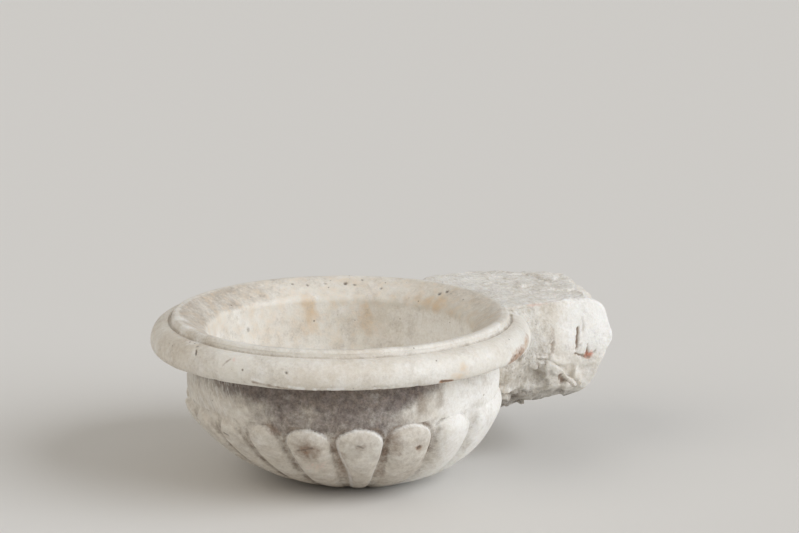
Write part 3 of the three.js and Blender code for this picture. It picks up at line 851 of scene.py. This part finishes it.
rough_move = put(MATH, (put(MATH, (facet, lump), "ADD"), attribute["rough"]), "MULTIPLY")
top_move = put(MATH, (track, attribute["flat_top"]), "MULTIPLY")
moved = put(MATH, (put(MATH, (rough_move, top_move), "ADD"), attribute["free"]), "MULTIPLY")
shift = put(VECTOR, {0: put("GeometryNodeInputNormal"), 1: moved}, "SCALE")
# How deep a hollow is; the finish paints the tenon's hollows darker, as shade.
hollow_share = put(RAMP, {"Value": rough_move, "From Min": 0.0, "From Max": -HOLLOW_DEPTH})
kept = put("GeometryNodeStoreNamedAttribute", {
    "Geometry": size["Geometry"], "Name": "pit", "Value": hollow_share}, data_type="FLOAT", domain="POINT")
end_tree(put, put("GeometryNodeSetPosition", {"Geometry": kept, "Offset": shift}), size["Material"])
print("hewing tree:", len(hewing.nodes), "nodes")

# %% [markdown]
# ## Marble finishes
# White statuary marble is a mass of calcite crystals: slightly translucent, with a satin skin where it was
# rubbed and sugary facets where it was split. Age turns it ivory, with warm clouds and fine dark specks.
# The soiling is a set of layers: each one is a mask that the skin carries, broken up by noise of the size
# that the real stain has. Grime, soil, groove dirt and brown also carry painted shade, and white also carries
# painted light.

# %% Colours, patterns and stains
WARM, PALE, DUST, SPECK, GRAIN = "#d7cfc2", "#eceae6", "#b0a494", "#7d6f60", "#54483f"
# grime, soil, groove dirt and brown also carry painted shade; white also carries painted light
STAINS = {  # colour, and width in mm of the patches that it breaks into
    "grime_and_shade": ("#aba092", 16.0), "soil_and_shade": ("#756a65", 22.0), "groove_dirt_and_shade": ("#7d6d5f", 7.0),
    "brown_and_shade": ("#8b7462", 6.0), "ochre": ("#cdab7c", 10.0), "rust": ("#99673a", 4.0), "rose": ("#dd8f74", 5.0),
    "dark": ("#5d5348", 2.5), "white_and_painted_light": ("#f1efea", 3.0),
}
# Width in mm, detail and roughness of each noise. Real crystals are under a millimetre wide and would not show
# in the render, so crystal and fleck are drawn several times as coarse.
PATTERNS = {
    "cloud": (95, 4.0, 0.6), "mottle": (17, 5.0, 0.6), "dust": (38, 9.0, 0.74), "fleck": (5, 4.0, 0.85),
    "crystal": (2.2, 3.0, 0.6),
}
SPECK_SPACING, SPECK_RADIUS, SPECK_EDGE = 8, 0.17, 0.06  # in mm, then as shares of the spacing
STROKE_SIZE, STROKE_SLANT = (1.7 * MM, 15 * MM, 20 * MM), math.radians(34)
FLECK_STRENGTH = 0.62


def stain_share(put, at, mask, width):
    """How much of a stain shows: its mask, with an edge broken up by noise of the stain's own width."""
    patches = put(NOISE, {
        "Vector": at, "Scale": 1 / (width * MM), "Detail": 6.0, "Roughness": 0.7}).outputs["Fac"]
    broken = put(MATH, (put(MATH, (patches, -0.5), "ADD"), 1.5, mask), "MULTIPLY_ADD")
    present = put(RAMP, {"Value": mask, "From Max": 0.25, "To Max": 0.92})
    return put(RAMP, {"Value": broken, "From Min": 0.15, "From Max": 0.85, "To Max": present})


def speck_share(put, at):
    """Small dark inclusions: a disc in the few cells that chance gives one."""
    cells = put("ShaderNodeTexVoronoi", {"Vector": at, "Scale": 1 / (SPECK_SPACING * MM)})
    chance = put("ShaderNodeSeparateXYZ", (cells.outputs["Color"],))
    speck_radius = put(RAMP, {"Value": chance, "From Min": 0.7, "From Max": 1.0, "To Max": SPECK_RADIUS})
    outside = put(MATH, (cells.outputs["Distance"], speck_radius), "SUBTRACT")
    return put(RAMP, {"Value": outside, "From Min": 0.0, "From Max": -SPECK_EDGE, "To Max": 0.75})


def stroke_height(put, mask):
    """Slanting chisel strokes, long and thin, on the skin laid out flat."""
    unrolled = put("ShaderNodeAttribute", attribute_name="unrolled").outputs["Vector"]
    slanted = put("ShaderNodeMapping", {
        "Vector": unrolled, "Rotation": (0, 0, STROKE_SLANT), "Scale": STROKE_SIZE}, vector_type="TEXTURE")
    strokes = put(NOISE, {"Vector": slanted, "Scale": 1.0, "Detail": 2.0})
    return put(MATH, (strokes, mask), "MULTIPLY")


print("stains:", list(STAINS), "patterns:", list(PATTERNS))


# %% Marble
def marble(name, roughness, grain, stroke, dirt, pepper):
    """Aged marble: grain and stroke are heights of crystals and scratches in mm, dirt and pepper are shares."""
    material = bpy.data.materials.new(name)
    material.use_nodes = True
    put = partial(add, material.node_tree)
    at = put("ShaderNodeTexCoord").outputs["Object"]
    pattern = {label: put(NOISE, {
        "Vector": at, "Scale": 1 / (width * MM), "Detail": detail, "Roughness": noise_roughness,
    }).outputs["Fac"] for label, (width, detail, noise_roughness) in PATTERNS.items()}
    mask = {label: put("ShaderNodeAttribute", attribute_name=label).outputs["Fac"]
            for label in (*STAINS, "strokes", "grit")}

    strokes = stroke_height(put, mask["strokes"])
    layers = [
        (put(RAMP, {"Value": pattern["cloud"], "From Min": 0.4, "From Max": 0.66}), WARM),
        (put(RAMP, {"Value": pattern["mottle"], "From Min": 0.5, "From Max": 0.75, "To Max": 0.6}), PALE),
    ]
    layers += [(stain_share(put, at, mask[label], width), tint) for label, (tint, width) in STAINS.items()]
    layers += [
        (put(RAMP, {"Value": pattern["dust"], "From Min": 0.5, "From Max": 0.7, "To Max": dirt}), DUST),
        (speck_share(put, at), SPECK),
        (put(RAMP, {"Value": strokes, "From Min": 0.45, "From Max": 0.7, "To Max": 0.6}), PALE),
    ]
    colour = linear(IVORY)
    for share, tint in layers:
        colour = put(MIX, {"Factor": share, "A": colour, "B": linear(tint)}, data_type="RGBA")

    flecked = put(MATH, (mask["grit"], FLECK_STRENGTH), "MULTIPLY")
    light = put(RAMP, {"Value": pattern["fleck"], "From Min": 0.34, "From Max": 0.66})
    colour = put(MIX, {
        "Factor": flecked, "A": colour, "B": light}, data_type="RGBA", blend_type="SOFT_LIGHT")
    peppered = put(MATH, (mask["grit"], pepper), "MULTIPLY")
    dusty = put(RAMP, {"Value": pattern["dust"], "From Min": 0.46, "From Max": 0.66, "To Max": peppered})
    grains = put(RAMP, {"Value": pattern["crystal"], "From Min": 0.5, "From Max": 0.66, "To Max": dusty})
    colour = put(MIX, {"Factor": grains, "A": colour, "B": linear(GRAIN)}, data_type="RGBA")

    gloss = put(RAMP, {"Value": pattern["mottle"], "From Min": 0.3, "From Max": 0.7,
                       "To Min": roughness - 0.07, "To Max": roughness + 0.09})
    ripple = put("ShaderNodeBump", {"Strength": 1.0, "Distance": stroke * MM, "Height": strokes})
    for label, height in (("dust", 5 * grain), ("crystal", grain)):
        ripple = put("ShaderNodeBump", {
            "Strength": 1.0, "Distance": height * MM, "Normal": ripple,
            "Height": put(MATH, (pattern[label], mask["grit"]), "MULTIPLY")})

    shader = material.node_tree.nodes["Principled BSDF"]
    for socket, value in (("Base Color", colour.outputs[2]), ("Roughness", gloss.outputs[0]),
                          ("Normal", ripple.outputs[0])):
        material.node_tree.links.new(value, shader.inputs[socket])
    for socket, value in (("IOR", 1.49), ("Subsurface Weight", 0.12), ("Subsurface Radius", (1.0, 0.75, 0.5)),
                          ("Subsurface Scale", 4 * MM)):
        shader.inputs[socket].default_value = value
    return material


# Hands and water rubbed the rim for centuries: it has a satin skin that holds a soft highlight.
worn_marble = marble("statuary marble, worn satin", 0.5, 0.5, 1.0, 0.45, 0.4)
# The lobes were handled less: their sheen is duller, and the grain shows where light rakes over them.
carved_marble = marble("statuary marble, carved and handled", 0.56, 0.6, 1.0, 0.45, 0.4)
# Nobody wiped the neck: bright chisel strokes stand in grey soil, and nothing shines.
soiled_marble = marble("statuary marble, chiselled and soiled", 0.62, 0.6, 1.2, 0.5, 0.45)
# Split stone shows the crystals themselves: it is dull and sugary.
hewn_marble = marble("statuary marble, hewn and split", 0.72, 1.0, 1.0, 0.25, 0.45)
print("finishes:", [m.name for m in (worn_marble, carved_marble, soiled_marble, hewn_marble)])

# %% [markdown]
# ## From trees to plain meshes
# The export wants plain meshes, so each chain is run through its trees once, the result is copied into a
# mesh of its own and the chain goes away. The same sizes serve rim, neck and bowl: only the fineness
# differs.


# %% Running the trees
def baked(name, source, material, *steps):
    """The source after its trees, as a plain mesh with that name."""
    for tree, sizes in steps:
        modifier = source.modifiers.new(tree.name, "NODES")
        modifier.node_group = tree
        values = sizes | {"Material": material}
        for item in tree.interface.items_tree:
            if item.in_out == "INPUT" and item.name in values:
                modifier[item.identifier] = values[item.name]
    graph = bpy.context.evaluated_depsgraph_get()
    mesh = bpy.data.meshes.new_from_object(
        source.evaluated_get(graph), preserve_all_data_layers=True, depsgraph=graph)
    source.modifiers.clear()
    bpy.data.objects.remove(source)
    mesh.name = name
    mesh.shade_smooth()
    return in_scene(name, mesh)


rim = baked("moulded_rim", rim, worn_marble, (turning, CARVING | {"Segments": 840}), (wearing, WEAR))
neck = baked("chiselled_neck", neck, soiled_marble, (turning, CARVING | {"Segments": 720}), (wearing, WEAR))
bowl = baked("lobed_bowl", bowl, carved_marble, (turning, CARVING), (wearing, WEAR))
tenon = baked("hewn_tenon", tenon, hewn_marble, (hewing, HEWING))
for piece in (rim, neck, bowl, tenon):
    print(piece.name, len(piece.data.vertices), "vertices", len(piece.data.loop_triangles), "triangles")

# %% [markdown]
# ## Stains and scars
# The photograph shows where this stone was hurt: a row of dark pits on the far bevel, ochre water stains
# inside, rust near the tenon, soil under the rim where nobody wiped, deepened there by painted shade. A brown
# line under the rim's lower arris is a painted shadow. Each mark is a spot, or a line with two ends, then a
# reach in millimetres and a strength, and is written to the skin as an attribute that the finish reads. The
# dark ones also dent the mesh.

# %% Marks by place
MARKS = {
    "dark": [
        (-152, 13, 164.5, 2.6, .8), (-147, 28, 162, 2.8, .8), (-143, 47, 163, 2.6, .7),
        (-135, 67, 163, 3.6, .9),
        (-129, 75, 162, 2.6, .8), (-130.5, 84.5, 166, 2.4, .7), (-109, 97, 159.5, 2.4, .8),
        (-53, 138, 161, 3.4, .9), (-48, 144, 164, 3.2, .9), (52.5, -175, 159, 57, -177, 155.5, 1.6, .8),
        (144, -121.5, 152, 2.2, .9), (150, 12, 65, 4, 1), (146.5, -50, 73, 147, -44.5, 70.5, 1.8, .5),
        (113, -97, 66, 125, -87.5, 70, 1.6, .7), (117, -93.5, 72, 121, -91, 62, 1.5, .6),
        (46, -145, 72, 51, -143.5, 70.5, 1.8, .8), (105.5, -113, 108.6, 2.4, .9), (149, 117, 142.5, 2.4, 1),
        (141, 127, 143, 2.4, 1), (151, 111, 140, 2, .8), (187, 18, 138, 184.5, 29, 137, 1.6, .8),
    ],
    "ochre": [
        (-131, 21, 146, -128, 22, 124, 17, .5), (-107, 76, 138, -104, 76, 122, 14, .42),
        (-41, 132, 155, 15, .65),
        (-55, 126, 153, 13, .55), (-68, 119, 152, 12, .45), (150, 100, 146, 12, .3), (126, 141, 148, 11, .4),
        (181, 41, 147, 10, .35), (184, 30, 141, 180, 48, 141, 6, .3),
    ],
    "rust": [
        (152, 110, 138.5, 148, 119, 142, 10, .55), (148, 119, 142, 136, 132, 142.5, 10, .55),
        (136, 132, 142.5, 114, 151, 150, 8, .45), (187, 17, 138, 184.5, 29, 137, 3, .9), (150, 12, 65, 6, .7),
        (119, -92, 67, 9, .35),
    ],
    "grime_and_shade": [(151, 12, 126, 154, 13, 102, 8, .6), (148.5, 36, 122, 150.5, 35, 106, 7, .45)],
    "brown_and_shade": [
        # The first three lines run under the rim's lower arris: a painted shadow line.
        (121, -145, 140.8, 138, -128, 138, 2.2, .6), (138, -128, 138, 158, -98, 135.8, 2.2, .6),
        (158, -98, 135.8, 173, -72, 135.6, 2.2, .55), (119, -91, 66, 20, .75),
        (152, -14, 79, 150, -12, 60, 11, .5), (141, 26, 56, 138, 25, 46, 6, .5),
        (66, 206, 141, 66, 204, 118, 5, .45), (66, 240, 148, 66, 234, 120, 8, .5),
        (152, 110, 138.5, 136, 132, 142, 8, .5), (151, 12, 124, 153, 12.5, 110, 5, .3),
        (128, -61, 64, 104, -44, 30, 10, .6), (142, -20, 68, 114, -13, 30, 8, .5),
        (92.5, -164, 152, 95.5, -157.5, 158, 1.7, .6), (146.5, -47, 71.5, 9, .4),
        (97, -122, 89, 105, -115, 82, 6, .6), (152, -19, 76, 152, -20, 66, 6, .6),
        (135.5, -68.5, 78, 134, -67, 68, 5, .5), (132, 80, 94, 137, 71, 89, 3, .4),
    ],
    "rose": [
        (66, 249, 112, 6.5, .9), (112, -78, 44, 22, .2), (99, -155, 158, 5, .3),
        (58, 182, 167, 52, 256, 166, 4, .3),
    ],
    "white_and_painted_light": [
        (121, -146, 143.5, 129, -139, 142, 2.6, .9), (138, -130, 140.5, 2.6, .9),
        (146, -119, 139, 153, -108, 138, 2.6, 1), (158, -99, 138, 2.6, .9),
        (165, -88, 137.8, 172, -77, 137.8, 2.6, 1), (-39, -156, 169, 16, .6), (0, -162, 168, 16, .6),
        (34, -168, 164, 14, .7),
    ],
}
print("marks:", {label: len(marks) for label, marks in MARKS.items()})

# %% Reach of a mark on the skin
SEEN_THROUGH = 6.0  # mm that a mark may lie above or below the skin and still touch it


def touched(places, normals, marks):
    """How strongly each place is touched by spots or lines, each with a reach and a strength."""
    total = np.zeros(len(places))
    for *ends, reach, strength in marks:
        start, stop = np.reshape(ends, (-1, 3))[[0, -1]]
        line = stop - start
        along_line = np.clip((places - start) @ line / max(line @ line, 1e-9), 0, 1)
        aside = places - start - along_line[:, None] * line
        height = np.sum(aside * normals, axis=1)
        height = height * smooth(2 - np.abs(height) / SEEN_THROUGH)
        gap = np.sqrt(np.maximum(np.sum(aside * aside, axis=1) - 0.9 * height**2, 0))
        total = np.maximum(total, strength * smooth(1 - gap / reach) ** 0.6)
    return total


def skin_of(piece):
    """Places of a piece's vertices in mm, and their normals."""
    places, normals = (np.zeros(len(piece.data.vertices) * 3, np.float32) for _ in range(2))
    piece.data.vertices.foreach_get("co", places)
    piece.data.vertex_normals.foreach_get("vector", normals)
    return places.reshape(-1, 3) / MM, normals.reshape(-1, 3)


def carried(piece, label):
    """What a tree left on a piece's vertices, or zeros."""
    values = np.zeros(len(piece.data.vertices), np.float32)
    if label in piece.data.attributes:
        piece.data.attributes[label].data.foreach_get("value", values)
    return values


first_spot = MARKS["dark"][0][:3]
print("a spot on the far bevel lies", np.hypot(*first_spot[:2]).round(1), "mm from the axis")

# %% [markdown]
# Other stains follow the stone's form: soil under the rim, dirt in the grooves. With them go painted shade
# and painted light: darker in creases, under the rim, on the shaded side and lower down, lighter on the lit
# side, on the basin's right wall and along the lobes' crisp edges. So each vertex first learns in which zone
# it lies. The spans are in degrees round from the front or in millimetres above the base, and the number
# before a mask is its strength.


# %% Zones of the stone
def rise(value, start, stop):
    """A share that grows gently from 0 at the start to 1 at the stop."""
    return smooth((value - start) / (stop - start))


def zones_of(piece, places):
    """Direction and height of each vertex, and its shares of the zones."""
    x, y, z = places.T
    azimuth = np.degrees(np.arctan2(x, -y))
    outside = carried(piece, "outer")
    basin = (piece is not tenon) * rise(np.hypot(x, y), 163, 159) * rise(z, 60, 120) * (1 - outside)
    return SimpleNamespace(
        azimuth=azimuth, z=z, outside=outside, basin=basin,
        groove=carried(piece, "groove") * outside,
        lit_side=rise(azimuth, 96, 118) * outside,
        bevel=basin * rise(z, 150, 156),
        shaded_bevel=rise(azimuth, 40, -20) * rise(azimuth, -100, -60) * rise(z, 148, 156),
        right_wall=rise(x * right[0] + y * right[1], 20, 90) * rise(z, 150, 140),
        patchy=np.clip(0.5 + 0.7 * hewn_wave(x, y, z, 0.8, 0.5), 0, 1),
    )


print("half way up a span from 40 to 80 the share is", rise(60, 40, 80))

# %% Soil, painted shade and dirt in the grooves
SOIL_EDGE = ((-60, 132), (-10, 122), (10, 115), (30, 108), (50, 101), (64, 97), (84, 98), (96, 111),
             (108, 127), (125, 146))  # lower edge of the soil: height by degrees round from the front


def soil_and_shade_on(piece, zone):
    """Grey soil under the rim and between the tops of the lobes, deepened there by painted shade, and painted
    shade on the tenon's underside.
    """
    under_rim = 0.95 * rise(zone.z - line_at(zone.azimuth, *SOIL_EDGE), -11, 15)
    above_lobes = 0.72 * rise(zone.azimuth, 22, 48) * rise(zone.azimuth, 100, 78) * rise(zone.z, 74, 86)
    off_lobes = rise(zone.groove, 0.25, 0.75) if piece is bowl else 1.0
    # The share on the tenon's underside is painted shade, not soil.
    return np.maximum(under_rim, above_lobes) * zone.outside * off_lobes + 0.45 * carried(piece, "underside")


def painted_shade_on(piece, zone):
    """Painted shade: darker in creases, on the shaded outside and more so near the base, on the tenon's picked
    stone and in its hollows, and on the bevel of the mouth, most on its shaded part.
    """
    # All of this is painted shade: creases, the side away from the key light, the base, hollows and the bevel.
    painted_shade = 0.6 * carried(piece, "crease")
    painted_shade = painted_shade + (0.32 + 0.35 * rise(zone.z, 45, 0)) * (zone.outside - zone.lit_side)
    painted_shade = painted_shade + 0.12 * carried(piece, "picked") + 0.45 * carried(piece, "pit") * (piece is tenon)
    return painted_shade + 0.4 * zone.basin * zone.shaded_bevel + 0.15 * zone.bevel


def groove_dirt_and_shade_on(piece, zone):
    """Brown dirt and painted shade in the grooves, and painted shade at the feet of the lobes, less on the lit
    side and on worn arches.
    """
    in_grooves = 0.66 * rise(zone.groove, 0.2, 0.8) * rise(zone.z, 92, 78)
    at_feet = 0.95 * carried(piece, "lobe_foot") * zone.outside
    rubbed_arches = rise(zone.azimuth, 40, 15) * rise(zone.z, 74, 84)
    kept_share = (0.35 + 0.65 * zone.patchy) * (1 - 0.4 * zone.lit_side) * (1 - 0.7 * rubbed_arches)
    upper_grooves = np.maximum(rise(zone.azimuth, 70, 40), 0.55 + 0.45 * rise(zone.z, 35, 75))
    return np.maximum(in_grooves, at_feet) * kept_share * upper_grooves


print("soil reaches down to", min(height for _, height in SOIL_EDGE), "mm above the base")


# %% Dark, brown, bright and gritty places, with painted shade and painted light
def dark_on(piece):
    """Dark worn pits and pitted stone, and painted shade in the tenon's slots."""
    worn_pits = 0.7 * carried(piece, "pit") * (piece is not tenon)
    return np.max([worn_pits, 0.15 * carried(piece, "picked"), 0.12 * carried(piece, "slot_shade")], axis=0)


def white_and_painted_light_on(piece, zone):
    """Fresh stone at chips and on the tenon's clean faces, with painted light: on the lit side, on the basin's
    right wall and as a highlight on the lobes' crisp edges.
    """
    edge_highlight = 0.6 * carried(piece, "arris") * (piece is bowl) * zone.outside
    return np.max([carried(piece, "chip"), 0.7 * zone.lit_side, carried(piece, "clean"),
                   0.75 * zone.basin * zone.right_wall, edge_highlight], axis=0)


def strokes_on(piece, zone):
    """Chisel strokes: plain on the left of the neck, faint elsewhere on the outside."""
    share = 0.2 + 0.8 * (1 - rise(zone.azimuth, 10, 60)) if piece is neck else 0.05
    return zone.outside * share


def grit_on(piece, zone, facts):
    """Where grains and flecks show most."""
    gritty = facts["soil_and_shade"] + facts["groove_dirt_and_shade"] + carried(piece, "picked") + 0.7 * carried(piece, "flat_top")
    return 0.45 + 0.55 * np.clip(gritty + 0.2 * zone.bevel, 0, 1)


# The slots' darkening is painted shade.
print("the tenon's slots stain", int((carried(tenon, "slot_shade") > 0.5).sum()), "vertices")

# %% Marks written to the skins
DENT, SHARP_ANGLE = 1.3, math.radians(48)
for piece in (rim, neck, bowl, tenon):
    places, normals = skin_of(piece)
    facts = {label: touched(places, normals, marks) for label, marks in MARKS.items()}
    places = places - normals * (DENT * facts["dark"])[:, None]
    piece.data.vertices.foreach_set("co", (places * MM).astype(np.float32).ravel())
    piece.data.update()

    zone = zones_of(piece, places)
    facts["soil_and_shade"] = soil_and_shade_on(piece, zone)
    facts["grime_and_shade"] = facts["grime_and_shade"] + painted_shade_on(piece, zone)
    facts["ochre"] = np.maximum(facts["ochre"], 0.2 * zone.basin * (1 - zone.right_wall))
    facts["groove_dirt_and_shade"] = groove_dirt_and_shade_on(piece, zone)
    facts["dark"] = np.maximum(facts["dark"], dark_on(piece))
    # Brown also takes painted shade in the tenon's slots and crease, and follows the neck's soil, which is
    # partly painted shade.
    facts["brown_and_shade"] = np.max(
        [facts["brown_and_shade"], 0.8 * carried(piece, "slot_shade"), 0.22 * facts["soil_and_shade"] * (piece is neck)], axis=0)
    facts["white_and_painted_light"] = np.maximum(facts["white_and_painted_light"], white_and_painted_light_on(piece, zone))
    facts["strokes"] = strokes_on(piece, zone)
    facts["grit"] = grit_on(piece, zone, facts)
    with_facts(piece.data, facts)
    piece.data.set_sharp_from_angle(angle=SHARP_ANGLE)
    print(piece.name, {label: round(float(values.mean()), 3) for label, values in facts.items()})

# %% [markdown]
# ## Riding the frame
# Each skin takes the place of its plain solid, which is hidden.

# %% Pieces on their solids
for piece, node, slot in ((rim, "rim", "worked_marble"), (neck, "neck_band", "soiled_marble"),
                          (bowl, "gadrooned_bowl", "worked_marble"), (tenon, "wall_tenon", "hewn_marble")):
    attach(piece, "root")
    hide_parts(node)
